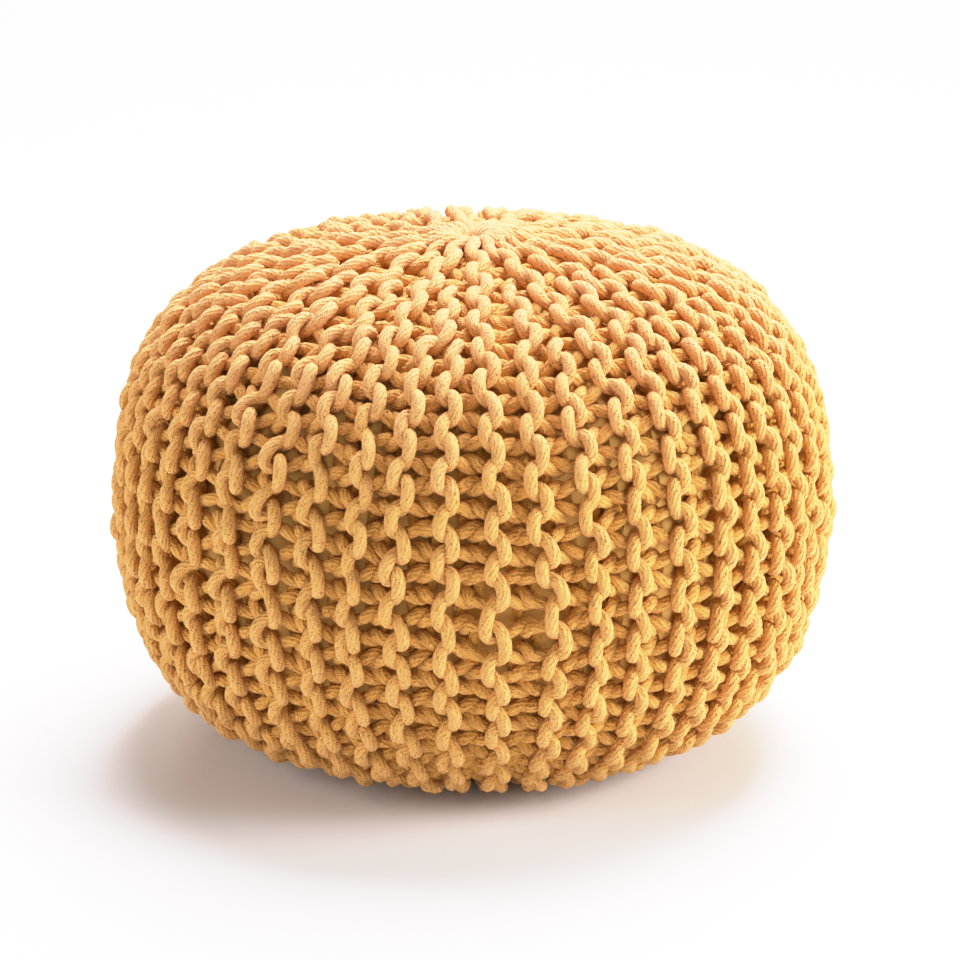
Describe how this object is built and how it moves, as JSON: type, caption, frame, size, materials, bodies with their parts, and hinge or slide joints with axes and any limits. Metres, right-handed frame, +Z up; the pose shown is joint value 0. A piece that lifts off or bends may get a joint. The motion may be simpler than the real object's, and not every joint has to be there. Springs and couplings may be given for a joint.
{
  "type": "round knitted pouf",
  "caption": "Round knitted floor cushion: a ribbed cord cover drawn in at top and bottom over a filled inner casing.",
  "frame": {"origin": "middle of the resting face, on the surface the pouf stands on", "axes": "+Z up through the drawn-in middle of the top; the pictured side faces -Y"},
  "size_m": [0.5017, 0.5012, 0.3509],
  "materials": {
    "knit_cotton": "soft twisted cotton cord, matte, mustard yellow with small dark flecks",
    "casing_cloth": "plain woven cotton, matte, ochre"
  },
  "bodies": {
    "root": {"knit_cover": "knit_cotton", "inner_casing": "casing_cloth"}
  },
  "joints": []
}
